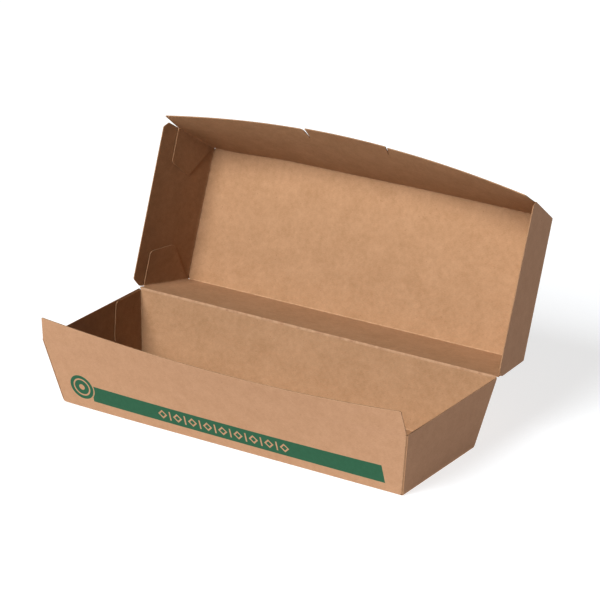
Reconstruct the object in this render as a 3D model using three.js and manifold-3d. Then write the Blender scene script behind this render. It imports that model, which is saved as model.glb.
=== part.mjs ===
// Folded kraft board food box with a hinged lid, the lid standing open.
// Millimetres, Z up, X along the box, the front at -Y, the origin under the middle of the base.
// The tray and the lid are the two halves of one die-cut blank. Each half is worked out as one
// sheet: a grid laid over its blank, with every grid point carried to where folding takes it.
import * as THREE from "three";
import { mergeVertices } from "three/addons/utils/BufferGeometryUtils.js";
import Module from "manifold-3d";

// Board
const BOARD_THICKNESS = 0.45;
const CREASE_RADIUS = 0.5; // inside of every fold
const GLUE_LINE = 0.05; // between a tab and the end wall it is glued to
const RAW_EDGE_SETBACK = 1; // end walls stop this far short of the front and back walls

// Tray
const TRAY_LENGTH = 200;
const TRAY_WIDTH = 66.2;
const TRAY_HEIGHT = 35.9;
const TRAY_END_FLARE = 7.2;
const TRAY_FRONT_FLARE = 7.8;
const TRAY_BACK_FLARE = 8.8;
const TRAY_EAR_RISE = 12.6; // front wall above the end walls
const TRAY_EAR_TAPER = 1.7;
const TRAY_FRONT_BULGE = 6.9; // how far the free edge bows out at mid length
const TRAY_TAB_WIDTH = 23.5;
const TRAY_TAB_RIM_WIDTH = 21.5;
const TRAY_TAB_DROP = 0.5; // top of a tab below the rim

// Lid, sized as it lies when shut: height down from its top panel
const LID_LENGTH = 203.5;
const LID_WIDTH = 71.4;
const LID_HEIGHT = 35.2;
const LID_END_FLARE = 7.1;
const LID_FRONT_FLARE = 8.8;
const LID_BACK_FLARE = 6.9;
const LID_EAR_START = 5.7; // the front corners end this far short of the hinge level
const LID_EAR_RISE = 14.6;
const LID_EAR_TAPER = 0.4;
const LID_FRONT_BULGE = 9.3;
const LID_END_OVERHANG = 4; // the end walls reach past the tray's rim when shut
const LID_END_CHAMFER = 3.2;
const LID_TAB_WIDTH = 20.8;
const LID_TAB_RIM_WIDTH = 18.5;
const LID_TAB_DROP = 3.5;

// Tabs of both halves
const TAB_START = 1.3; // just above the base panel's fold, so the corner is closed
const TAB_START_WIDTH = 1.3;
const TAB_FOOT_HEIGHT = 4; // from here the end slants up to the knee
const TAB_FOOT_WIDTH = 3;
const TAB_KNEE_SHARE = 0.45; // share of the wall height where the slanted end begins
const TAB_CORNER_RADIUS = 1.6;

// Lock tongue in the lid's front wall
const TONGUE_WIDTH = 50;
const SLIT_DEPTH = 7;
const SLIT_LEAN = 2; // each slit runs this far towards the middle
const SLIT_WIDTH = 0.5;
const SLIT_MOUTH = 1.8;
const SLIT_CORNER_RADIUS = 2.5; // outer corner of each slit's mouth
const TONGUE_PROUD = 2; // how far the tongue stands past the free edge beside it

// Hinge fold
const LID_OPEN_DEGREES = 110.9;
const HINGE_SETBACK = 0.25; // each half stops this far short of the hinge line

// Grid fineness
const BULGE_POWER = 1.35; // how the bow grows with height
const COLUMNS = 20;
const FOLD_STEPS = 4;
const PANEL_STEPS = 2;
const CORNER_STEPS = 3;
const ROW_STEP = 6;

const MID_RADIUS = CREASE_RADIUS + BOARD_THICKNESS / 2;
const KRAFT = new THREE.MeshStandardMaterial({ color: 0xc39a76, roughness: 0.9, metalness: 0 });

const wasm = await Module();
wasm.setup();

// Closed geometry to a solid and back
function solidOf(geometry) {
  const bare = geometry.clone();
  bare.deleteAttribute("normal");
  bare.deleteAttribute("uv");
  const merged = mergeVertices(bare, 1e-4);
  return new wasm.Manifold(
    new wasm.Mesh({
      numProp: 3,
      vertProperties: merged.attributes.position.array,
      triVerts: new Uint32Array(merged.index.array),
    }),
  );
}

function geometryOf(solid) {
  const mesh = solid.getMesh();
  const geometry = new THREE.BufferGeometry()
    .setAttribute("position", new THREE.BufferAttribute(new Float32Array(mesh.vertProperties), 3))
    .setIndex(new THREE.BufferAttribute(mesh.triVerts, 1));
  geometry.computeVertexNormals();
  return geometry;
}

// Values from the first mark to the last, through every mark, none further apart than step
function stations(marks, step) {
  const values = [marks[0]];
  for (let i = 1; i < marks.length; i++) {
    const parts = Math.max(1, Math.ceil(Math.abs(marks[i] - marks[i - 1]) / step));
    for (let k = 1; k <= parts; k++) {
      values.push(THREE.MathUtils.lerp(marks[i - 1], marks[i], k / parts));
    }
  }
  return values;
}

// A wall that leans out from the base panel, seen in section: `out` is away from the box's middle.
// It gives the middle of the board, the outward normal, and the fold from the base panel.
function leaningWall(halfBase, flare, height) {
  const slope = flare / height;
  const stretch = Math.hypot(1, slope);
  const normal = new THREE.Vector2(1, -slope).divideScalar(stretch);
  const rise = new THREE.Vector2(slope, 1).divideScalar(stretch);
  const outAt = (z, depth) => halfBase + slope * z - depth * stretch;
  const half = BOARD_THICKNESS / 2;
  const corner = new THREE.Vector2(outAt(half, half), half);
  const turn = Math.PI / 2 - Math.atan(slope);
  const tangent = MID_RADIUS * Math.tan(turn / 2);
  const centre = new THREE.Vector2(corner.x - tangent, half + MID_RADIUS);
  const fold = [];
  for (let k = 0; k <= FOLD_STEPS; k++) {
    const angle = (turn * k) / FOLD_STEPS;
    const n = new THREE.Vector2(Math.sin(angle), -Math.cos(angle));
    fold.push({ point: centre.clone().addScaledVector(n, MID_RADIUS), normal: n });
  }
  return { slope, normal, rise, fold, outAt, start: fold[FOLD_STEPS].point.y };
}

// Width of a glued tab at height z: full near the knee, narrower at the rim, slanted to its foot
function tabWidth(box, top, z) {
  const knee = box.height * TAB_KNEE_SHARE;
  if (z < TAB_FOOT_HEIGHT) {
    const share = (z - TAB_START) / (TAB_FOOT_HEIGHT - TAB_START);
    return THREE.MathUtils.lerp(TAB_START_WIDTH, TAB_FOOT_WIDTH, share);
  }
  if (z < knee) {
    const share = (z - TAB_FOOT_HEIGHT) / (knee - TAB_FOOT_HEIGHT);
    return THREE.MathUtils.lerp(TAB_FOOT_WIDTH, box.tabWidth, share);
  }
  const width = THREE.MathUtils.lerp(box.tabWidth, box.tabRimWidth, (z - knee) / (top - knee));
  return width - cornerLoss(top - z, TAB_CORNER_RADIUS);
}

// What a rounded corner takes off an edge at a height `gap` short of the corner
function cornerLoss(gap, radius) {
  const depth = Math.max(0, radius - gap);
  return radius - Math.sqrt(radius * radius - depth * depth);
}

// Marks through a tab's rounded rim corner, up to its top
function cornerMarks(top) {
  const marks = [];
  for (let k = 0; k <= CORNER_STEPS; k++) {
    marks.push(top - TAB_CORNER_RADIUS * Math.cos((Math.PI / 2) * (k / CORNER_STEPS)));
  }
  return marks;
}

// How far out the tabs' folds lie at height z, inside the end walls
function cornerAt(box, z) {
  const end = leaningWall(box.length / 2, box.endFlare, box.height);
  return end.outAt(z, BOARD_THICKNESS * 1.5 + GLUE_LINE);
}

// Half the length of the front wall's free edge
const edgeReach = (box) => cornerAt(box, box.earStart) - box.earTaper;

// Rows of the grid, from the front wall's free edge down, over the base and up the back wall.
// Each row knows its place in section, its outward normal and how far it runs to each side.
function rowsOf(box) {
  const front = leaningWall(box.width / 2, box.frontFlare, box.height);
  const back = leaningWall(box.width / 2, box.backFlare, box.height);
  const end = leaningWall(box.length / 2, box.endFlare, box.height);
  const half = BOARD_THICKNESS / 2;
  const baseReach = end.fold[0].point.x;
  const earTop = box.earStart + box.earRise;
  const knee = box.height * TAB_KNEE_SHARE;

  const wallRow = (wall, side, top, z) => {
    let reach = cornerAt(box, z) - MID_RADIUS;
    if (side < 0 && z > top) {
      const share = Math.max(0, (z - box.earStart) / box.earRise);
      reach = cornerAt(box, Math.min(z, box.earStart)) - box.earTaper * share;
    }
    return {
      y: side * wall.outAt(z, half),
      z,
      ny: side * wall.normal.x,
      nz: wall.normal.y,
      reach,
      tab: z >= TAB_START && z <= top ? tabWidth(box, top, z) : 0,
      wall,
      side,
    };
  };
  const foldRows = (wall, side) => {
    const wallReach = cornerAt(box, wall.start) - MID_RADIUS;
    return wall.fold.slice(1, -1).map(({ point, normal }, k) => ({
      y: side * point.x,
      z: point.y,
      ny: side * normal.x,
      nz: normal.y,
      reach: THREE.MathUtils.lerp(baseReach, wallReach, (k + 1) / FOLD_STEPS),
      tab: 0,
    }));
  };
  const baseRow = (y, share) => ({ y, z: half, ny: 0, nz: -1, reach: baseReach, tab: 0, share });

  const frontTab = cornerMarks(box.frontTabTop);
  const backTab = cornerMarks(box.backTabTop);
  const tabFoot = [TAB_START, TAB_FOOT_HEIGHT, knee];
  const frontMarks = [front.start, ...tabFoot, ...frontTab, box.earStart, earTop];
  const hingeEdge = box.height - HINGE_SETBACK * back.rise.y - half * back.normal.y;
  const backMarks = [back.start, ...tabFoot, ...backTab, hingeEdge];
  const notch = box.width / 2 - RAW_EDGE_SETBACK;
  const rows = [
    ...stations(frontMarks, ROW_STEP)
      .reverse()
      .map((z) => wallRow(front, -1, box.frontTabTop, z)),
    ...foldRows(front, -1).reverse(),
    baseRow(-front.fold[0].point.x),
    ...stations([-1, 0, 1], 0.5).map((share) => baseRow(share * notch, share)),
    baseRow(back.fold[0].point.x),
    ...foldRows(back, 1),
    ...stations(backMarks, ROW_STEP).map((z) => wallRow(back, 1, box.backTabTop, z)),
  ];
  return { rows, front, back, end, half };
}

// Columns of the grid: the folds and panels beyond the left end, the length, then the right end.
// A half with a tongue has columns at both edges of each slit's mouth.
function columnsOf(box) {
  const wing = [];
  for (let k = 1; k <= FOLD_STEPS; k++) {
    wing.push({ fold: k });
  }
  for (let k = 1; k <= PANEL_STEPS; k++) {
    wing.push({ fold: FOLD_STEPS, panel: k });
  }
  const tongue = TONGUE_WIDTH / 2 / edgeReach(box);
  const mouth = (TONGUE_WIDTH / 2 + SLIT_MOUTH) / edgeReach(box);
  const marks = box.tongueProud ? [-1, -mouth, -tongue, tongue, mouth, 1] : [-1, 1];
  const middle = stations(marks, 2 / COLUMNS).map((share) => ({ side: 0, share }));
  const left = wing.map((part) => ({ ...part, side: -1 })).reverse();
  const right = wing.map((part) => ({ ...part, side: 1 }));
  return [...left, ...middle, ...right];
}

// How far the tongue stands past the free edge: all of it at the edge, none at the slits' ends
function tongueReach(box, row, share) {
  const inTongue = Math.abs(share) * edgeReach(box) < TONGUE_WIDTH / 2 + SLIT_MOUTH / 2;
  const foot = box.earStart + box.earRise - SLIT_DEPTH;
  return inTongue ? (box.tongueProud * Math.max(0, row.z - foot)) / SLIT_DEPTH : 0;
}

// How far the front wall bows out: a parabola along its length that grows with height
function bow(box, row, share) {
  if (!row.wall || row.side > 0) {
    return 0;
  }
  const top = box.earStart + box.earRise;
  return box.bulge * Math.pow(Math.max(0, row.z) / top, BULGE_POWER) * (1 - share * share);
}

function lengthPoint(box, row, share) {
  const normal = new THREE.Vector3(0, row.ny, row.nz);
  const point = new THREE.Vector3(share * row.reach, row.y, row.z);
  const swell = bow(box, row, share);
  if (swell > 0) {
    const slope = (swell * -2 * share) / ((1 - share * share) * row.reach);
    const growth = (swell * BULGE_POWER) / row.z;
    const rise = new THREE.Vector3(0, row.side * row.wall.rise.x, row.wall.rise.y);
    point.addScaledVector(normal, swell);
    normal.addScaledVector(rise, -growth * row.wall.rise.y);
    normal.x -= slope;
    normal.normalize();
    point.addScaledVector(rise, tongueReach(box, row, share));
  }
  return { point, normal };
}

// A tab: round the corner fold and back along the inside of the end wall, level with its row
function tabPoint(row, column, end) {
  const angle = ((Math.PI / 2) * column.fold) / FOLD_STEPS;
  const run = column.panel ? ((row.tab - MID_RADIUS) * column.panel) / PANEL_STEPS : 0;
  const inward = MID_RADIUS * (1 - Math.cos(angle)) + run;
  const x = row.reach + MID_RADIUS * Math.sin(angle);
  const normal = new THREE.Vector3(0, row.ny, row.nz).multiplyScalar(Math.cos(angle));
  normal.x += column.side * end.normal.x * Math.sin(angle);
  normal.z += end.normal.y * Math.sin(angle);
  return {
    point: new THREE.Vector3(column.side * x, row.y - row.side * inward, row.z),
    normal: normal.normalize(),
  };
}

// An end wall: up round its fold from the base panel, then along its lean to the rim
function endPoint(box, row, column, { front, back, end, half }) {
  const { point, normal } = end.fold[column.fold];
  let out = point.x;
  let z = point.y;
  let inset = 0;
  if (column.panel) {
    const last = column.panel === PANEL_STEPS;
    z = last ? box.endTop : box.endTop - box.endChamfer;
    out = end.outAt(z, half);
    inset = last ? box.endChamfer : 0;
  }
  const wall = row.share < 0 ? front : back;
  const reach = wall.outAt(z, 0) - RAW_EDGE_SETBACK - inset;
  return {
    point: new THREE.Vector3(column.side * out, row.share * reach, z),
    normal: new THREE.Vector3(column.side * normal.x, 0, normal.y),
  };
}

// The whole half: every grid point, then the board's two faces and its cut edges
function foldedSheet(box) {
  const plan = rowsOf(box);
  const columns = columnsOf(box);
  const { rows } = plan;
  const cellIn = (i, j) => {
    const side = columns[i].side || columns[i + 1].side;
    const pair = [rows[j], rows[j + 1]];
    if (side === 0) {
      return true;
    }
    return pair.every((row) => row.tab > 0) || pair.every((row) => row.share !== undefined);
  };
  const positions = [];
  const seen = new Map();
  const corner = (i, j) => {
    const key = j * columns.length + i;
    if (!seen.has(key)) {
      const row = rows[j];
      const column = columns[i];
      let place;
      if (column.side === 0) {
        place = lengthPoint(box, row, column.share);
      } else if (row.tab > 0) {
        place = tabPoint(row, column, plan.end);
      } else {
        place = endPoint(box, row, column, plan);
      }
      seen.set(key, positions.length / 3);
      for (const side of [1, -1]) {
        const offset = (side * BOARD_THICKNESS) / 2;
        positions.push(...place.point.clone().addScaledVector(place.normal, offset).toArray());
      }
    }
    return seen.get(key);
  };
  const index = [];
  const quad = (a, b, c, d) => index.push(a, b, c, a, c, d);
  const quadTurned = (a, b, c, d) => quad(b, c, d, a); // split along its other diagonal
  const edges = new Map();
  const edge = (a, b) => {
    if (!edges.delete(`${b},${a}`)) {
      edges.set(`${a},${b}`, [a, b]);
    }
  };
  for (let j = 0; j < rows.length - 1; j++) {
    for (let i = 0; i < columns.length - 1; i++) {
      if (!cellIn(i, j)) {
        continue;
      }
      const ring = [corner(i, j), corner(i, j + 1), corner(i + 1, j + 1), corner(i + 1, j)];
      const [a, b, c, d] = ring.map((v) => v + 1);
      const split = i < (columns.length - 1) / 2 ? quad : quadTurned; // alike left and right
      split(...ring);
      split(a, d, c, b);
      ring.forEach((v, k) => edge(v, ring[(k + 1) % ring.length]));
    }
  }
  for (const [a, b] of edges.values()) {
    quad(b, a, a + 1, b + 1);
  }
  const geometry = new THREE.BufferGeometry()
    .setAttribute("position", new THREE.Float32BufferAttribute(positions, 3))
    .setIndex(index);
  geometry.computeVertexNormals();
  return geometry;
}

// One of the two slits that free the lock tongue: a wedge through the front wall, its outer side
// rounded into the free edge
function slit(box, side) {
  const topRow = rowsOf(box).rows[0];
  const mouth = TONGUE_WIDTH / 2;
  const outer = mouth + SLIT_MOUTH;
  const top = lengthPoint(box, topRow, outer / topRow.reach).point.z;
  const foot = top - SLIT_DEPTH;
  const root = mouth - SLIT_LEAN;
  const over = box.tongueProud + 1;
  const outline = new THREE.Shape();
  outline.moveTo(root, foot);
  outline.lineTo(root + SLIT_WIDTH, foot);
  outline.lineTo(outer - SLIT_WIDTH, top - SLIT_CORNER_RADIUS);
  outline.quadraticCurveTo(outer, top, outer + SLIT_CORNER_RADIUS, top);
  outline.lineTo(outer + SLIT_CORNER_RADIUS, top + over);
  outline.lineTo(mouth, top + over);
  const depth = box.bulge * 2 + box.frontFlare;
  const geometry = new THREE.ExtrudeGeometry(outline, { depth, bevelEnabled: false, curveSegments: 6 });
  geometry.rotateX(Math.PI / 2);
  geometry.translate(0, -box.width / 2, 0);
  if (side < 0) {
    geometry.rotateZ(Math.PI);
    geometry.translate(0, -box.width - depth, 0);
  }
  return solidOf(geometry);
}

function trayGeometry() {
  return foldedSheet({
    length: TRAY_LENGTH,
    width: TRAY_WIDTH,
    height: TRAY_HEIGHT,
    endFlare: TRAY_END_FLARE,
    frontFlare: TRAY_FRONT_FLARE,
    backFlare: TRAY_BACK_FLARE,
    earStart: TRAY_HEIGHT,
    earRise: TRAY_EAR_RISE,
    earTaper: TRAY_EAR_TAPER,
    bulge: TRAY_FRONT_BULGE,
    endTop: TRAY_HEIGHT,
    endChamfer: RAW_EDGE_SETBACK,
    tabWidth: TRAY_TAB_WIDTH,
    tabRimWidth: TRAY_TAB_RIM_WIDTH,
    frontTabTop: TRAY_HEIGHT - TRAY_TAB_DROP,
    backTabTop: TRAY_HEIGHT - TRAY_TAB_DROP,
    tongueProud: 0,
  });
}

function lidGeometry() {
  const box = {
    length: LID_LENGTH,
    width: LID_WIDTH,
    height: LID_HEIGHT,
    endFlare: LID_END_FLARE,
    frontFlare: LID_FRONT_FLARE,
    backFlare: LID_BACK_FLARE,
    earStart: LID_HEIGHT - LID_EAR_START,
    earRise: LID_EAR_RISE,
    earTaper: LID_EAR_TAPER,
    bulge: LID_FRONT_BULGE,
    endTop: LID_HEIGHT + LID_END_OVERHANG,
    endChamfer: LID_END_CHAMFER,
    tabWidth: LID_TAB_WIDTH,
    tabRimWidth: LID_TAB_RIM_WIDTH,
    frontTabTop: LID_HEIGHT - LID_EAR_START - RAW_EDGE_SETBACK / 2,
    backTabTop: LID_HEIGHT - LID_TAB_DROP,
    tongueProud: TONGUE_PROUD,
  };
  const sheet = solidOf(foldedSheet(box));
  return geometryOf(sheet.subtract(slit(box, 1)).subtract(slit(box, -1)));
}

const tray = new THREE.Mesh(trayGeometry(), KRAFT.clone());
tray.name = "tray";

const lid = new THREE.Mesh(lidGeometry(), KRAFT.clone());
lid.name = "lid";
lid.rotation.y = Math.PI; // worked out base down, worn base up
lid.position.set(0, -(LID_WIDTH / 2 + LID_BACK_FLARE), LID_HEIGHT);

const hinge = new THREE.Group();
hinge.position.set(0, TRAY_WIDTH / 2 + TRAY_BACK_FLARE, TRAY_HEIGHT);
hinge.rotation.x = -THREE.MathUtils.degToRad(LID_OPEN_DEGREES);
hinge.add(lid);

const box = new THREE.Group();
box.add(tray, hinge);
export default box;
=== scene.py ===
"""Looks of a hinged kraft board takeaway box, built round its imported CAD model.

Metres in the scene, millimetres in the sums. X runs along the box, the front is at -Y, Z is up.
"""

import math

import bpy
import numpy as np
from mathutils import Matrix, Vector


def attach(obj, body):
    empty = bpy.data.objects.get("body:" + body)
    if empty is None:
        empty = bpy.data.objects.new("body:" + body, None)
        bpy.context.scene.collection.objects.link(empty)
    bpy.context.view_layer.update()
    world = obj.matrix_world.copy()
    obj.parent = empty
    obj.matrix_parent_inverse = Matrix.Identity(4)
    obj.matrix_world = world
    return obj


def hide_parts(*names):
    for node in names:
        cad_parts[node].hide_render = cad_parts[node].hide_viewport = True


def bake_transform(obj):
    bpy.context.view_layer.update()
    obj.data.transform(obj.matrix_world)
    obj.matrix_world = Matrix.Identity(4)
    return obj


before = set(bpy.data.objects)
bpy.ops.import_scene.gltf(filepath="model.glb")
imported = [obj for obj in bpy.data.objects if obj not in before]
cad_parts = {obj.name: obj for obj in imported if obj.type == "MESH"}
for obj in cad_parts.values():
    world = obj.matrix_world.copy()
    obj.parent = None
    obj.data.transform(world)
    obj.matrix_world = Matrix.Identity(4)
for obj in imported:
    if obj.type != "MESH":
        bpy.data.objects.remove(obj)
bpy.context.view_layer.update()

# Tray
#
# The lower half of one die-cut blank of 0.45 mm kraft board: base, front wall with ears, back
# wall, two end walls and four tabs, creased, folded up and glued inside the end walls.

board = 0.45
half_board = board / 2
crease_radius = 0.5
crease_bead = 0.07  # scored board swells a little on the inside of each fold
mid_radius = crease_radius + half_board
glue_line = 0.05
raw_edge_setback = 0.4
fluff = 0.35  # width of the rubbed, paler band along raw edges
hinge_setback = 0.25
tab_start = 0.95  # just above the base panel's fold, so the corner is closed
tab_start_width = 1.7
tab_foot_height = 4.0  # from here the end slants up to the knee
tab_foot_width = 3.0
tab_knee_share = 0.45
tab_corner = 1.6
ear_corner = 0.3
rim_corner = 0.5  # where an end wall's top edge meets its raw edges
deep_setback_top = 1.2  # below this height raw edges are set back up to twice as far
ear_lean_reach = 0.35  # share of half the length over which an ear's lean dies away
bulge_power = 1.35
slit_power, proud_power = 1.2, 1.5  # how a slit opens and the tongue stands proud up the slit
ear_wear, tab_wear, wall_wear = 0.2, 0.3, 0.1  # how rubbed the raw edges are, 0 to 1
fold_onset, tab_fold_wear = 0.4, 0.5  # how creased a fold's first row and a tab's fold are
fold_steps = 8
wing_steps = 24
row_step = 1.6
mouth_step = 0.3  # rows stand closer round the rounded mouths of the slits
length_columns = 150
tiny = 1e-6
blank_span = 250.0  # millimetres across the whole UV map of the blank

# Seen base down. Chamfers are a depth and a height, ear_lift is for the -X and the +X end.
tray = dict(
    length=200.0, width=66.2, height=35.9, end_flare=7.2, front_flare=7.8, back_flare=8.8,
    ear_start=35.9, ear_rise=12.6, ear_taper=1.7, bulge=6.9, skew=0.18, end_top=35.9,
    ear_lift=(0.0, 0.0), front_chamfer=(0.3, 0.3), back_chamfer=(0.2, 0.2),
    tab_width=23.5, tab_rim_width=21.5, front_tab_top=35.4, back_tab_top=35.4, slit=None,
)


def stations(marks, step):
    """Places from the first mark to the last through every mark, no further apart than step."""
    spans = [
        np.linspace(a, b, max(1, math.ceil(abs(b - a) / step)) + 1)[1:]
        for a, b in zip(marks[:-1], marks[1:])
    ]
    return np.concatenate([[marks[0]], *spans])


class Wall:
    """A wall leaning out of the base panel, in section: out = half base + slope * height.

    fold_out, fold_z, fold_n_out and fold_n_z are the middle of the board round the crease, an
    arc of mid_radius that touches both panels, and its outward normal.
    """

    def __init__(self, half_base, flare, height):
        self.half_base, self.slope = half_base, flare / height
        self.stretch = math.hypot(1, self.slope)
        self.n_out, self.n_z = 1 / self.stretch, -self.slope / self.stretch
        self.rise_out, self.rise_z = self.slope / self.stretch, 1 / self.stretch
        turn = math.pi / 2 - math.atan(self.slope)
        angle = np.linspace(0, turn, fold_steps + 1)
        centre = self.out_at(half_board, half_board) - mid_radius * math.tan(turn / 2)
        self.fold_n_out, self.fold_n_z = np.sin(angle), -np.cos(angle)
        self.fold_out = centre + mid_radius * self.fold_n_out
        self.fold_z = half_board + mid_radius + mid_radius * self.fold_n_z

    def out_at(self, z, depth):
        """How far out the board is at height z, depth millimetres in from its outer face."""
        return self.half_base + self.slope * z - depth * self.stretch


def rounded(gap, radius):
    """What a round corner takes off an edge, gap millimetres before its end: r - sqrt(r2 - d2)."""
    depth = np.clip(radius - gap, 0, radius)
    return radius - np.sqrt(np.maximum(radius**2 - depth**2, 0))


def tab_widths(half, top, z):
    """Width of a glued tab at height z: the lesser of a slanting foot and a straight free edge.

    Knee and top corner are rounded; exp(-difference) eases one line into the other.
    """
    knee = half["height"] * tab_knee_share
    foot = np.interp(z, [tab_start, tab_foot_height, knee],
                     [tab_start_width, tab_foot_width, half["tab_width"]])
    slant = (half["tab_width"] - tab_foot_width) / (knee - tab_foot_height)
    foot = foot + slant * np.clip(z - knee, 0, None)
    taper = (half["tab_rim_width"] - half["tab_width"]) / (top - knee)
    above = half["tab_width"] + taper * (z - knee)
    soft = np.exp(-np.abs(foot - above) / tab_corner) * tab_corner * 0.5
    return np.minimum(foot, above) - soft - rounded(top - z, tab_corner)


def grid_of(x, y, z):
    """Three coordinates, each worked out over rows, columns or both, as one grid of points."""
    return np.stack(np.broadcast_arrays(x, y, z), -1)


def folded_half(half):
    """Middle of the board of one half, worked out base down on a grid laid over its blank.

    Rows run from the free edge of the front wall down, over the base and up the back wall.
    Columns run from the left end wall or tab along the length to the right one. With u from -1 to
    1 along the front wall, its bow follows (1 - u2) (1 + skew u), is bulge at its most and grows
    as height^bulge_power. Returns places, outward normals, which cells are board, places on the
    flat blank, and how creased and how rubbed each is.
    """
    front = Wall(half["width"] / 2, half["front_flare"], half["height"])
    back = Wall(half["width"] / 2, half["back_flare"], half["height"])
    end = Wall(half["length"] / 2, half["end_flare"], half["height"])
    tab_depth = half_board + board + glue_line
    ear_top = half["ear_start"] + half["ear_rise"]
    knee = half["height"] * tab_knee_share
    slit = half["slit"]

    tab_foot = [tab_start, tab_start + fluff, tab_foot_height, knee]
    marks = [front.fold_z[-1], *tab_foot]
    marks += [half["front_tab_top"] - tab_corner, half["front_tab_top"] - fluff]
    marks += [half["front_tab_top"], half["ear_start"]]
    if slit:
        marks += [ear_top - slit["depth"], ear_top - max(slit["round"])]
    marks += [ear_top - fluff, ear_top]
    front_z = stations(marks, row_step)
    if slit:
        near = stations([ear_top - max(slit["round"]), ear_top], mouth_step)
        front_z = np.union1d(front_z, near)
    front_z = front_z[::-1]
    hinge_z = half["height"] - hinge_setback * back.rise_z - half_board * back.n_z
    back_z = stations(
        [back.fold_z[-1], *tab_foot, half["back_tab_top"] - tab_corner,
         half["back_tab_top"] - fluff, half["back_tab_top"], hinge_z], row_step)
    notch = half["width"] / 2 - 2 * raw_edge_setback
    rubbed_share = 1 - fluff / notch
    base_share = stations([-1, -rubbed_share, rubbed_share, 1], row_step / notch)

    def wall_reach(side, z):
        """Half the length of the wall at height z; the front's ears taper from ear_start up."""
        reach = end.out_at(z, tab_depth) - mid_radius
        if side < 0:
            share = np.clip((z - half["ear_start"]) / half["ear_rise"], 0, None)
            ear = end.out_at(np.minimum(z, half["ear_start"]), tab_depth)
            ear = ear - half["ear_taper"] * share
            above = z > half["front_tab_top"]
            reach = np.where(above, ear - rounded(ear_top - z, ear_corner), reach)
        return reach

    def wall_tab(top, z):
        """Width of a wall's tab at height z, 0 where it has none."""
        held = (z >= tab_start - tiny) & (z <= top + tiny)
        return np.where(held, tab_widths(half, top, z), 0.0)

    base_reach = end.fold_out[0]
    inner = slice(1, -1)
    fold_share = np.linspace(0, 1, fold_steps + 1)[inner]
    front_fold_reach, back_fold_reach = (
        base_reach + (wall_reach(0, wall.fold_z[-1]) - base_reach) * fold_share
        for wall in (front, back))
    panel_only = np.nan  # rows that belong to no end wall
    parts = [  # y, z, normal y, normal z, reach, tab, share, side, bowed, crease
        (-front.out_at(front_z, half_board), front_z, -front.n_out, front.n_z,
         wall_reach(-1, front_z), wall_tab(half["front_tab_top"], front_z), panel_only, -1, 1, 0),
        (-front.fold_out[inner][::-1], front.fold_z[inner][::-1],
         -front.fold_n_out[inner][::-1], front.fold_n_z[inner][::-1],
         front_fold_reach[::-1], 0, panel_only, -1, 0, 1),
        (-front.fold_out[:1], half_board, 0, -1, base_reach, 0, panel_only, -1, 0, fold_onset),
        (base_share * notch, half_board, 0, -1, base_reach, 0, base_share, 0, 0, 0),
        (back.fold_out[:1], half_board, 0, -1, base_reach, 0, panel_only, 1, 0, fold_onset),
        (back.fold_out[inner], back.fold_z[inner], back.fold_n_out[inner], back.fold_n_z[inner],
         back_fold_reach, 0, panel_only, 1, 0, 1),
        (back.out_at(back_z, half_board), back_z, back.n_out, back.n_z,
         wall_reach(0, back_z), wall_tab(half["back_tab_top"], back_z), panel_only, 1, 0, 0),
    ]
    rows = np.concatenate([np.stack(np.broadcast_arrays(*part)) for part in parts], 1)
    y, z, ny, nz, reach, tab, share, side, bowed, crease = rows[:, :, None]
    along = np.concatenate([[0], np.cumsum(np.hypot(np.diff(y[:, 0]), np.diff(z[:, 0])))])
    base_row = int(np.nanargmin(np.abs(share[:, 0])))
    along = (along - along[base_row])[:, None]

    # Along the length: straight columns, drawn in to the slits where the half has them
    spread = np.linspace(-1, 1, length_columns + 1)
    spread = np.union1d(spread, [fluff / reach.max() - 1, 1 - fluff / reach.max()])
    if slit:
        tongue, mouth = (edge / reach.max() for edge in slit["columns"])
        clear = np.abs(np.abs(spread) - (tongue + mouth) / 2) > slit["column_gap"]
        spread = np.union1d(spread[clear], [-mouth, -tongue, tongue, mouth])
        foot = ear_top - slit["depth"]
        share_up = np.clip((z - foot) / slit["depth"], 0, 1) * bowed
        half_width, lean, gap, opening, turn = (
            np.where(spread < 0, *slit[key])
            for key in ("half_width", "lean", "width", "mouth", "round"))
        x_in = half_width - lean * (1 - share_up)
        x_out = x_in + gap + opening * share_up**slit_power
        x_out = x_out + rounded(ear_top - z, turn) * (share_up > 0)
        size = np.abs(spread)
        x = np.where(
            size <= tongue, x_in * size / tongue,
            np.where(size <= mouth, x_in + (x_out - x_in) * (size - tongue) / (mouth - tongue),
                     x_out + (reach - x_out) * (size - mouth) / (1 - mouth)))
        x = x * np.sign(spread)
        proud = slit["proud"] * share_up**proud_power * (size <= tongue + tiny)
    else:
        x = reach * spread
        proud = np.zeros_like(x)
    u = x / reach
    skew = half["skew"]
    most = bowed * half["bulge"] / (1 + skew**2 / 4) * np.clip(z / ear_top, 0, None) ** bulge_power
    swell = most * (1 - u**2) * (1 + skew * u)
    loose = np.clip((z - half["ear_start"]) / half["ear_rise"], 0, 1) * bowed
    first_lift, last_lift = half["ear_lift"]  # how far each ear was pulled out by hand
    lift = first_lift * np.exp((-1 - u) / ear_lean_reach)
    lift = lift + last_lift * np.exp((u - 1) / ear_lean_reach)
    growth = swell * bulge_power / z
    swell = swell + loose * lift
    slope_x = most * (skew - 2 * u - 3 * skew * u**2) / reach
    rise_y, rise_z = -front.rise_out, front.rise_z
    middle = np.stack([x, y + ny * swell + proud * rise_y, z + nz * swell + proud * rise_z], -1)
    steeper = growth * rise_z
    normal = np.stack([-slope_x, ny - rise_y * steeper, nz - rise_z * steeper], -1)
    middle_flat = np.stack([x, along + 0 * x], -1)
    middle_crease = crease + 0 * x
    free = (z > half["front_tab_top"] + tiny) & (bowed > 0)
    outer = (z > ear_top - tiny) | (np.abs(spread) > 1 - tiny)
    middle_rub = np.where(free & outer, ear_wear, 0.0)

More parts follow.
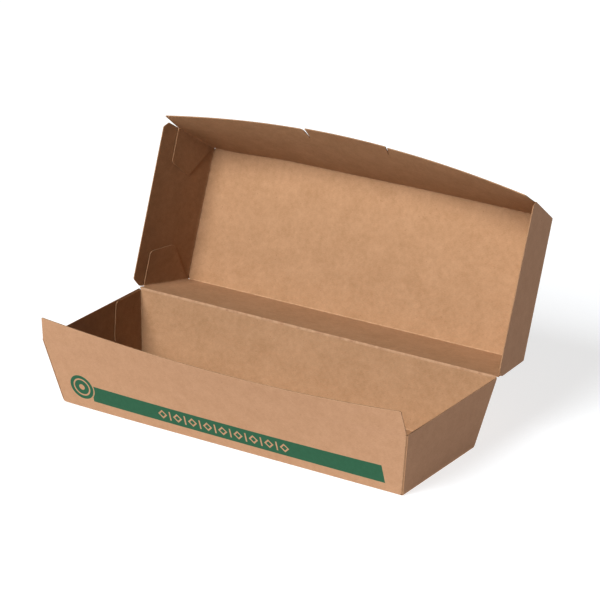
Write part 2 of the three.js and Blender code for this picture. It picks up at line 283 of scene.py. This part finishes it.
    # Beyond each end: round the corner fold, then over the tab or up the end wall
    fold = np.concatenate([np.arange(1, fold_steps + 1), np.full(wing_steps, fold_steps)])
    panel = np.concatenate([np.zeros(fold_steps), np.arange(1, wing_steps + 1)]) / wing_steps
    angle = math.pi / 2 * fold / fold_steps
    whole = np.maximum(tab - mid_radius, 0)
    run = whole * panel
    run[:, -2:-1] = np.maximum(whole - fluff, whole * (wing_steps - 1.5) / wing_steps)
    inward = mid_radius * (1 - np.cos(angle)) + run
    is_tab = tab > 0
    tab_place = grid_of(reach + mid_radius * np.sin(angle), y - side * inward, z)
    tab_normal = grid_of(end.n_out * np.sin(angle), ny * np.cos(angle),
                         nz * np.cos(angle) + end.n_z * np.sin(angle))
    wall_start = end.fold_z[-1]
    wall_z = wall_start + (half["end_top"] - wall_start) * panel
    wall_z = np.where(panel > 0, wall_z, end.fold_z[fold])
    wall_z[-2] = half["end_top"] - fluff
    wall_out = np.where(panel > 0, end.out_at(wall_z, half_board), end.fold_out[fold])
    to_top = half["end_top"] - wall_z
    front_inset, back_inset = (
        deep * np.clip(1 - to_top / high, 0, None) + rounded(to_top, rim_corner)
        for deep, high in (half["front_chamfer"], half["back_chamfer"]))
    inset = np.where(share < 0, front_inset, back_inset)
    wall_y = np.where(share < 0, front.out_at(wall_z, 0), back.out_at(wall_z, 0))
    at_fold = raw_edge_setback * np.clip(1 - wall_z / deep_setback_top, 0, 1)
    wall_y = np.nan_to_num(share) * (wall_y - raw_edge_setback - at_fold - inset)
    wall_place = grid_of(wall_out, wall_y, wall_z)
    wall_normal = grid_of(end.fold_n_out[fold], 0 * wall_y, end.fold_n_z[fold])
    wing = np.where(is_tab[..., None], tab_place, wall_place)
    wing_normal = np.where(is_tab[..., None], tab_normal, wall_normal)
    wall_along = np.concatenate([[0], np.cumsum(np.hypot(np.diff(wall_out), np.diff(wall_z)))])
    wing_along = np.where(is_tab, reach + run + angle * mid_radius, base_reach + wall_along)
    wing_flat = np.stack([wing_along, np.where(is_tab, along, wall_y)], -1)
    wing_crease = np.where(panel > 0, 0.0, np.where(is_tab, tab_fold_wear, 1.0))
    tab_top = np.where(side < 0, half["front_tab_top"], half["back_tab_top"])
    tab_edge = (panel == 1) | (np.abs(z - tab_start) < tiny) | (np.abs(z - tab_top) < tiny)
    wall_edge = (panel == 1) | (np.abs(share) == 1)
    wing_rub = np.where(is_tab, tab_edge * tab_wear, wall_edge * wall_wear)
    flip = np.array([-1, 1, 1])
    place = np.concatenate([(wing * flip)[:, ::-1], middle, wing], 1)
    normal = np.concatenate([(wing_normal * flip)[:, ::-1], normal, wing_normal], 1)
    normal /= np.linalg.norm(normal, axis=-1, keepdims=True)
    flat = np.concatenate([(wing_flat * flip[:2])[:, ::-1], middle_flat, wing_flat], 1)
    crease = np.concatenate([wing_crease[:, ::-1], middle_crease, wing_crease], 1)
    rub = np.concatenate([wing_rub[:, ::-1], middle_rub, wing_rub], 1)

    columns = place.shape[1]
    in_wing = np.ones(columns, bool)
    in_wing[len(fold):columns - len(fold)] = False
    wing_cell = in_wing[:-1] | in_wing[1:]
    held = is_tab[:, 0]
    based = ~np.isnan(share[:, 0])
    row_open = (held[:-1] & held[1:]) | (based[:-1] & based[1:])
    cells = ~wing_cell[None, :] | row_open[:, None]
    if slit:
        slit_high = z[:, 0] > foot - tiny
        cut_row = slit_high[:-1] & slit_high[1:] & (bowed[:-1, 0] > 0)
        middle_size = np.abs(spread[:-1] + spread[1:]) / 2
        cut = np.zeros(columns - 1, bool)
        cut[len(fold):len(fold) + len(spread) - 1] = (middle_size > tongue) & (middle_size < mouth)
        cells &= ~(cut_row[:, None] & cut[None, :])
    return place, normal, cells, flat, crease, rub


def sheet_mesh(name, half, carry):
    """Gives the grid its thickness: outer face, inner face and the cut edges between them.

    A vertex is place +- half the board along the normal, with the bead added inside a fold. carry
    takes points to where they stand.
    """
    place, normal, cells, flat, crease, rub = folded_half(half)
    rows, columns = crease.shape
    count = rows * columns
    swell = half_board + crease_bead * crease[..., None]
    corners = np.concatenate([(place + normal * half_board).reshape(-1, 3),
                              (place - normal * swell).reshape(-1, 3)])
    j, i = np.nonzero(cells)
    ring = np.stack([j * columns + i, (j + 1) * columns + i,
                     (j + 1) * columns + i + 1, j * columns + i + 1], 1)
    sides = np.stack([ring, np.roll(ring, -1, 1)], -1).reshape(-1, 2)
    code = sides[:, 0] * count + sides[:, 1]
    lone = sides[~np.isin(code, sides[:, 1] * count + sides[:, 0])]
    rim = np.stack([lone[:, 1], lone[:, 0], lone[:, 0] + count, lone[:, 1] + count], 1)
    faces = np.concatenate([ring, ring[:, ::-1] + count, rim])
    used, compact = np.unique(faces, return_inverse=True)
    faces = compact.reshape(faces.shape)
    mesh = bpy.data.meshes.new(name)
    mesh.from_pydata((carry(corners[used]) / 1000).tolist(), [], faces.tolist())
    loops = used[faces.ravel()] % count
    blank = mesh.uv_layers.new(name="blank")
    blank.data.foreach_set("uv", (flat.reshape(-1, 2)[loops] / blank_span + 0.5).ravel())
    kinds = {
        "inside": np.repeat([0.0, 1.0, 0.5], [len(ring), len(ring), len(rim)]),
        "cut_edge_shade": np.repeat([0.0, 0.0, 1.0], [len(ring), len(ring), len(rim)]),
    }
    for kind, values in kinds.items():
        layer = mesh.attributes.new(kind, "FLOAT", "CORNER")
        layer.data.foreach_set("value", np.repeat(values, 4))
    for kind, values in {"crease": crease, "rub": rub}.items():
        layer = mesh.attributes.new(kind, "FLOAT", "POINT")
        layer.data.foreach_set("value", values.ravel()[used % count])
    mesh.polygons.foreach_set("use_smooth", np.ones(len(faces), bool))
    mesh.set_sharp_from_angle(angle=math.radians(40))
    mesh.update()
    piece = bpy.data.objects.new(name, mesh)
    bpy.context.scene.collection.objects.link(piece)
    return piece


class Wire:
    """A socket on which Python's operators add Math nodes; add makes any other node."""

    def __init__(self, tree, socket):
        self.tree, self.socket = tree, socket

    def add(self, kind, settings, inputs, output=0):
        """A node of that kind: settings first, then values or wires for its sockets."""
        node = self.tree.nodes.new("ShaderNode" + kind)
        for key, value in settings.items():
            setattr(node, key, value)
        for key, value in inputs.items():
            if isinstance(value, Wire):
                self.tree.links.new(value.socket, node.inputs[key])
            else:
                node.inputs[key].default_value = value
        return Wire(self.tree, node.outputs[output])

    def maths(self, operation, *others):
        """A Math node whose first value is this wire."""
        return self.add("Math", {"operation": operation}, dict(enumerate((self, *others))))

    def __add__(self, other):
        return self.maths("ADD", other)

    def __sub__(self, other):
        return self.maths("SUBTRACT", other)

    def __rsub__(self, other):
        return self.add("Math", {"operation": "SUBTRACT"}, {0: other, 1: self})

    def __mul__(self, other):
        return self.maths("MULTIPLY", other)

    __radd__, __rmul__ = __add__, __mul__

    def __abs__(self):
        return self.maths("ABSOLUTE")

    def ramp(self, low, high):
        """0 below low, 1 above high, straight between; low may be the greater."""
        ends = {"Value": self, "From Min": low, "From Max": high}
        return self.add("MapRange", {"clamp": True}, ends)

    def mixed(self, first, second):
        """Colour first turning into second as this wire goes from 0 to 1."""
        return self.add("Mix", {"data_type": "RGBA"}, {0: self, 6: first, 7: second}, 2)


def linear(red, green, blue):
    """A colour seen on screen, 0 to 255, as the shader's linear colour, by the sRGB curve."""
    seen = np.array([red, green, blue]) / 255
    value = np.where(seen <= 0.04045, seen / 12.92, ((seen + 0.055) / 1.055) ** 2.4)
    return (*value.tolist(), 1.0)


def start_material(name):
    """A bare material: its tree, its main shader and a first wire, the flat blank's place."""
    material = bpy.data.materials.new(name)
    material.use_nodes = True
    tree = material.node_tree
    shader = tree.nodes["Principled BSDF"]
    blank = Wire(tree, None).add("UVMap", {"uv_map": "blank"}, {})
    return material, tree, shader, blank


def kraft_board(name, printed=None):
    """Uncoated brown kraft board, coloured on its flat blank.

    Tone = 0.5 + weighted clouds of 8 mm and flocks of 2.5 mm, both stronger inside, two sets of
    fibres along the blank's x, and a fine grain. It goes from dark to pale pulp, a touch less blue
    on the inside face as painted shade for the interior. Rare dark specks and paler fluff on
    creases and rubbed edges lie on top, with raw cuts darkened by painted shade.
    """
    material, tree, shader, blank = start_material(name)
    side, cut, crease, rub = (
        blank.add("Attribute", {"attribute_name": layer}, {}, 2)
        for layer in ("inside", "cut_edge_shade", "crease", "rub"))
    flat = blank.add("VectorMath", {"operation": "MULTIPLY_ADD"},
                     {0: blank, 1: (blank_span,) * 3, 2: (-blank_span / 2,) * 3})
    x = flat.add("SeparateXYZ", {}, {0: flat}, 0)
    v = flat.add("SeparateXYZ", {}, {0: flat}, 1)
    face_shift = 60.0  # so that the two faces don't show the same clouds
    spot = flat.add("CombineXYZ", {}, {0: x, 1: v, 2: side * face_shift})

    def noise(size, detail, spot=spot):
        """Soft blotches of that size in millimetres."""
        return spot.add("TexNoise", {}, {"Vector": spot, "Scale": 1 / size, "Detail": detail})

    def fibres(turn, x_scale, v_scale):
        """Streaks along x: noise drawn out by unequal scales. The turn, which comes after them,
        only gives each set noise of its own."""
        settings = {"Vector": spot, "Rotation": (0, 0, turn), "Scale": (x_scale, v_scale, 1)}
        return noise(1.0, 2.0, spot.add("Mapping", {}, settings))

    cloud, flock, grain = noise(8.0, 2.0), noise(2.5, 3.0), noise(1 / 3, 2.0)
    strands = fibres(0.5, 0.9, 4.5) + fibres(-0.7, 0.8, 4.0)
    mottle = ((cloud - 0.5) * 0.8 + (flock - 0.5) * 0.9) * (side * 0.3 + 0.75)
    tone = (mottle + (strands - 1.0) * 0.9 + (grain - 0.5) * 0.7 + 0.5).ramp(0, 1)
    # The inside's colour is a touch less blue than the outside's: painted shade, warming the
    # interior, which lies mostly in shadow.
    inner = tone.mixed(linear(167, 131, 98), linear(187, 150, 118))
    outer = tone.mixed(linear(168, 131, 101), linear(186, 149, 120))
    colour = side.ramp(0, 0.5).mixed(outer, inner)

    speck_spacing, patch_size = 1 / 0.35, 1 / 0.21
    specks = spot.add("TexVoronoi", {}, {"Vector": spot, "Scale": 1 / speck_spacing})
    speck = specks.ramp(0.1, 0.05) * noise(patch_size, 0.0).ramp(0.52, 0.6)
    colour = (speck * 0.45).mixed(colour, linear(120, 80, 52))
    worn_fold = (crease * 0.5) * flock.ramp(0.3, 0.6)
    colour = worn_fold.ramp(0, 1).mixed(colour, linear(204, 170, 138))
    colour = (rub * flock.ramp(0.25, 0.5)).mixed(colour, linear(226, 196, 164))
    # Painted shade: raw cut faces go halfway to a darker brown, so that edges turned to the key
    # light don't show as bright lines.
    colour = (cut * 0.5).mixed(colour, linear(150, 114, 84))
    if printed:
        ink = printed(x, v) * (1 - side.ramp(0, 0.4))
        depth = (flock * 0.6 + strands * 0.2).ramp(0.2, 0.8)
        green = depth.mixed(linear(42, 91, 66), linear(52, 102, 78))
        colour = (ink * (1.0 - grain * 0.05)).mixed(colour, green)
    tree.links.new(colour.socket, shader.inputs["Base Color"])
    rough = (flock - 0.5) * 0.14 + 0.86
    tree.links.new(rough.socket, shader.inputs["Roughness"])
    shader.inputs["Specular IOR Level"].default_value = 0.22
    height = strands * 0.5 + grain * 0.4 + flock * 0.3
    bump = height.add("Bump", {}, {"Strength": 0.22, "Distance": 0.00006, "Height": height})
    tree.links.new(bump.socket, shader.inputs["Normal"])
    return material


def tray_print(x, v):
    """The printed band: a bar between two heights, a round badge at its left end, and a row of
    lozenges and dashes left bare in its middle. 1 where there is ink.

    A lozenge is |x| + |y| below its radius; the row repeats by wrapping x to one pitch.
    """
    soft = 0.09  # how far an ink edge bleeds

    def under(value, limit):
        """1 below the limit, 0 above."""
        return value.ramp(limit + soft, limit - soft)

    def over(value, limit):
        """1 above the limit, 0 below."""
        return value.ramp(limit - soft, limit + soft)

    up = (v + tray["width"] / 2) * -1.0  # millimetres up the front wall from the base edge
    foot_slant, end_slant = 0.0044, 0.06
    foot, top, left, right = 4.95 - x * foot_slant, 14.75, -80.0, 91.2
    slanted_end = x + up * end_slant
    bar = up.ramp(foot - soft, foot + soft) * under(up, top)
    bar = bar * over(x, left) * under(slanted_end, right)

    pitch, row_half, row_middle, row_drop = 9.0, 39.3, -1.0, 0.2
    lozenge_radius, lozenge_hole, dash_half = 2.75, 1.55, 0.45
    row_x = x - row_middle
    cell = row_x.maths("WRAP", pitch / 2, -pitch / 2)
    rise = abs(up - ((foot + top) * 0.5 - row_drop))
    reach = abs(cell) + rise
    lozenge = under(reach, lozenge_radius) * over(reach, lozenge_hole)
    dash = under(abs(abs(cell) - pitch / 2), dash_half) * under(rise, lozenge_radius)
    bare = lozenge.maths("MAXIMUM", dash) * under(abs(row_x), row_half)

    badge_x, badge_up, badge_radius = -86.2, 12.4, 7.0
    groove_radius, groove_half, eye_radius, badge_clearance = 4.7, 0.45, 1.7, 0.7
    dx, dy = x - badge_x, up - badge_up
    ring = (dx * dx + dy * dy).maths("SQRT")
    groove, eye = under(abs(ring - groove_radius), groove_half), under(ring, eye_radius)
    badge = under(ring, badge_radius) * (1 - groove) * (1 - eye)
    bar = bar * (1 - bare) * over(ring, badge_radius + badge_clearance)
    return bar.maths("MAXIMUM", badge)


base_warp = np.array([-0.7, 0, 0.45])  # at the left end of the base
warp_start = -50.0


def tray_in_place(points):
    """Points as they are, but for the left end of the base, which is warped out and up a little.

    The warp grows as the square of the way from warp_start and dies away up to the rim.
    """
    way = np.clip((warp_start - points[:, 0]) / (tray["length"] / 2 + warp_start), 0, 1.2)
    warp = way**2 * np.clip(1 - points[:, 2] / tray["height"], 0, 1)
    return points + warp[:, None] * base_warp


tray_shell = sheet_mesh("tray_shell", tray, tray_in_place)
tray_shell.data.materials.append(kraft_board("kraft_board_printed", tray_print))
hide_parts("tray")
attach(tray_shell, "tray")

# Lid
#
# The upper half of the same blank, turned back at the hinge fold: top panel, hinge wall, front
# wall with ears and a lock tongue freed by two slits, two end walls with chamfers, four tabs.

hinge = np.array([0.0, 41.9, 35.9])
lid_open = math.radians(110.9)
# Seen base down, so its -X end stands at the box's +X end. In slit, columns are where the grid's
# columns beside a slit start from, and the other pairs are for the tongue's -X and +X side.
lid = dict(
    length=203.5, width=71.4, height=35.2, end_flare=7.1, front_flare=8.8, back_flare=6.9,
    ear_start=29.5, ear_rise=14.6, ear_taper=0.4, bulge=9.3, skew=0.09, end_top=39.2,
    ear_lift=(0.0, 1.1), front_chamfer=(3.2, 3.2), back_chamfer=(4.4, 5.2),
    tab_width=20.8, tab_rim_width=18.5, front_tab_top=29.0, back_tab_top=31.7,
    slit=dict(depth=7.0, proud=1.86, half_width=(25.0, 22.8), lean=(1.6, -0.4),
              width=(0.12, 0.45), mouth=(0.1, 1.9), round=(0.2, 1.6),
              columns=(25.0, 26.2), column_gap=0.012),
)

front_fold_rise, front_fold_crest = 1.8, 0.4  # how far the hand-folded lid is out of square
rise_start, rise_end = -92.0, -50.0  # along X
crest_x, crest_reach = 35.0, 45.0
back_fold_rise, back_fold_twist = 0.7, 0.2  # the twist is over 100 mm of X


def lid_in_place(points):
    """Base-down points turned over onto the hinge line, then swung open about it.

    The lid isn't quite square. Its front fold rises in a smooth step and stands 1.8 mm high along
    most of its length, with a soft crest of 0.4 mm more, and its hinge-side fold stands 0.5 to
    0.9 mm high. This fades out towards every free edge.
    """
    x = -points[:, 0]
    along = np.clip((x - rise_start) / (rise_end - rise_start), 0, 1)
    crest = np.exp(-(((x - crest_x) / crest_reach) ** 2))
    front_rise = front_fold_rise * along**2 * (3 - 2 * along) + front_fold_crest * crest
    back_rise = back_fold_rise + back_fold_twist * x / 100
    across = np.clip(points[:, 1] / lid["width"] + 0.5, 0, 1)
    fading = np.clip(1 - points[:, 2] / lid["height"], 0, 1)
    rise = (front_rise + (back_rise - front_rise) * across) * fading
    y = points[:, 1] - (lid["width"] / 2 + lid["back_flare"])
    z = lid["height"] - points[:, 2]
    c, s = math.cos(-lid_open), math.sin(-lid_open)
    turned = np.stack([x, y * c - z * s, y * s + z * c + rise], 1)
    return turned + hinge


lid_shell = sheet_mesh("lid_shell", lid, lid_in_place)
lid_shell.data.materials.append(kraft_board("kraft_board_plain"))
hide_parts("lid")
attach(lid_shell, "lid")

# Hinge crease
#
# The fold that joins the halves. The board is scored and bent here, so it swells into a pale,
# rubbed bead, shaped for the lid's opening angle.

crease_lap = 0.7  # how far the bead runs onto each wall
crease_lift = 0.035  # how far it stands off the inner faces
outer_share, heel_share = 0.6, 0.6  # of that off the outer faces, and of theirs at the heel
arc_steps = 10
end_gap = 0.6  # from each end of the bead to the end of the rim
pinch_length, least_pinch = 0.6, 0.35
map_shift = 20.0  # from its place over the table towards the fold's own on the blank's map
ring_stops, last_stop, cap_stop = 160, 0.996, 0.9985  # the stops are shares of half its length
tray_slope = math.atan(tray["back_flare"] / tray["height"])
lid_slope = math.atan(lid["back_flare"] / lid["height"])


def crease_section():
    """Round the hinge line, as y and z: along the tray's inner face, an arc of the board's
    thickness, along the lid's inner face, and back under both outer faces."""
    down = np.array([-math.sin(tray_slope), -math.cos(tray_slope)])
    lid_angle = lid_open - lid_slope
    away = np.array([math.sin(lid_angle), math.cos(lid_angle)])
    tray_in = np.array([down[1], -down[0]])
    lid_in = np.array([-away[1], away[0]])
    start, stop = (math.atan2(n[1], n[0]) % (2 * math.pi) for n in (tray_in, lid_in))
    angle = np.linspace(start, stop, arc_steps + 1)
    arc = np.stack([np.cos(angle), np.sin(angle)], 1) * (board + crease_lift)
    laps = np.array([1.0, 0.66, 0.33])[:, None] * crease_lap
    taper = np.array([0.0, 0.7, 1.0])[:, None] * crease_lift
    under = -crease_lift * outer_share
    tray_side = down * laps + tray_in * (board + taper)
    lid_side = away * laps[::-1] + lid_in * (board + taper[::-1])
    lid_under = away * laps + lid_in * under
    tray_under = down * laps[::-1] + tray_in * under
    heel = (tray_in + lid_in) * under * heel_share
    return np.concatenate([tray_side, arc, lid_side, lid_under, heel[None], tray_under])


# The section is carried along the hinge line, and pinched towards each end as the square root of
# the way left to go.
section = crease_section()
crease_half = tray["length"] / 2 + tray["end_flare"] - end_gap
shares = np.linspace(-last_stop, last_stop, ring_stops)
along = np.concatenate([[-1, -cap_stop], shares, [cap_stop, 1]]) * crease_half
pinch = np.clip((crease_half - np.abs(along)) / pinch_length, least_pinch, 1) ** 0.5
rings = section.mean(0) + (section[None] - section.mean(0)) * pinch[:, None, None]
stops, sides = len(along), len(section)
points = grid_of(along[:, None], rings[..., 0], rings[..., 1]).reshape(-1, 3) + hinge
stop, side = np.meshgrid(np.arange(stops - 1), np.arange(sides), indexing="ij")
following = (side + 1) % sides
strip = np.stack([stop * sides + side, (stop + 1) * sides + side,
                  (stop + 1) * sides + following, stop * sides + following], -1)
first_cap, last_cap = np.arange(sides), np.arange(sides)[::-1] + (stops - 1) * sides
caps = [first_cap.tolist(), last_cap.tolist()]
crease_mesh = bpy.data.meshes.new("hinge_crease")
crease_mesh.from_pydata((points / 1000).tolist(), [], strip.reshape(-1, 4).tolist() + caps)
flat = np.stack([points[:, 0], points[:, 1] + map_shift], 1) / blank_span + 0.5
corners = np.empty(len(crease_mesh.loops), np.int32)
crease_mesh.loops.foreach_get("vertex_index", corners)
crease_mesh.uv_layers.new(name="blank").data.foreach_set("uv", flat[corners].ravel())
worn = crease_mesh.attributes.new("crease", "FLOAT", "POINT")
worn.data.foreach_set("value", np.ones(len(points)))
crease_mesh.polygons.foreach_set("use_smooth", np.ones(len(crease_mesh.polygons), bool))
crease_mesh.set_sharp_from_angle(angle=math.radians(50))
hinge_crease = bpy.data.objects.new("hinge_crease", crease_mesh)
bpy.context.scene.collection.objects.link(hinge_crease)
hinge_crease.data.materials.append(bpy.data.materials["kraft_board_plain"])
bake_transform(hinge_crease)

# Table, light and camera
#
# A plain white table that glows softly from within, one large soft light above the front and a
# faint cool one from the right. The camera stands to the front right and looks down at 22 degrees.

table_half, table_drop = 6.0, 0.0002
table_top = bpy.data.meshes.new("table_top")
table_top.from_pydata(
    [(-table_half, -table_half, -table_drop), (table_half, -table_half, -table_drop),
     (table_half, table_half, -table_drop), (-table_half, table_half, -table_drop)],
    [], [(0, 1, 2, 3)])
table = bpy.data.objects.new("table_top", table_top)
bpy.context.scene.collection.objects.link(table)
paint = bpy.data.materials.new("pale_table")
paint.use_nodes = True
paint_inputs = paint.node_tree.nodes["Principled BSDF"].inputs
paint_inputs["Base Color"].default_value = (0.3, 0.3, 0.3, 1)
paint_inputs["Roughness"].default_value = 0.9
paint_inputs["Emission Color"].default_value = (1, 1, 1, 1)
paint_inputs["Emission Strength"].default_value = 0.8
table_top.materials.append(paint)

world = bpy.data.worlds.new("white_room")
world.use_nodes = True
world.node_tree.nodes["Background"].inputs["Color"].default_value = (1, 1, 1, 1)
world.node_tree.nodes["Background"].inputs["Strength"].default_value = 1.0
bpy.context.scene.world = world
world.cycles_visibility.diffuse = False  # seen behind the table's edge only
world.cycles_visibility.glossy = False


def soft_light(name, energy, colour, towards):
    """A sun 30 degrees wide that stands in the given direction."""
    data = bpy.data.lights.new(name, "SUN")
    data.energy, data.color, data.angle = energy, colour, math.radians(30)
    light = bpy.data.objects.new(name, data)
    light.rotation_euler = Vector(towards).to_track_quat("Z", "Y").to_euler()
    bpy.context.scene.collection.objects.link(light)


soft_light("key_light", 4.2, (1.0, 1.055, 1.11), (-0.16, -0.75, 0.64))
soft_light("side_light", 0.5, (0.9, 0.93, 1.25), (0.9, 0.35, 0.05))

bpy.context.scene.view_settings.view_transform = "Standard"
bpy.context.scene.view_settings.gamma = 0.8  # the contrast of the photo

azimuth, elevation = math.radians(34.165), math.radians(21.944)
back = Vector((math.sin(azimuth) * math.cos(elevation), -math.cos(azimuth) * math.cos(elevation),
               math.sin(elevation)))
right = Vector((math.cos(azimuth), math.sin(azimuth), 0))
upward = back.cross(right)
target = Vector((0, 0, 0.060))
distance = 1.5417
aim_right, aim_up = 0.01683, 0.00596  # from the target to the middle of the picture
camera_data = bpy.data.cameras.new("camera")
camera_data.lens = 189.39
camera_data.sensor_width = 36
camera = bpy.data.objects.new("camera", camera_data)
camera.location = target + back * distance
aim = target + right * aim_right + upward * aim_up
camera.rotation_euler = (camera.location - aim).to_track_quat("Z", "Y").to_euler()
bpy.context.scene.collection.objects.link(camera)
bpy.context.scene.camera = camera
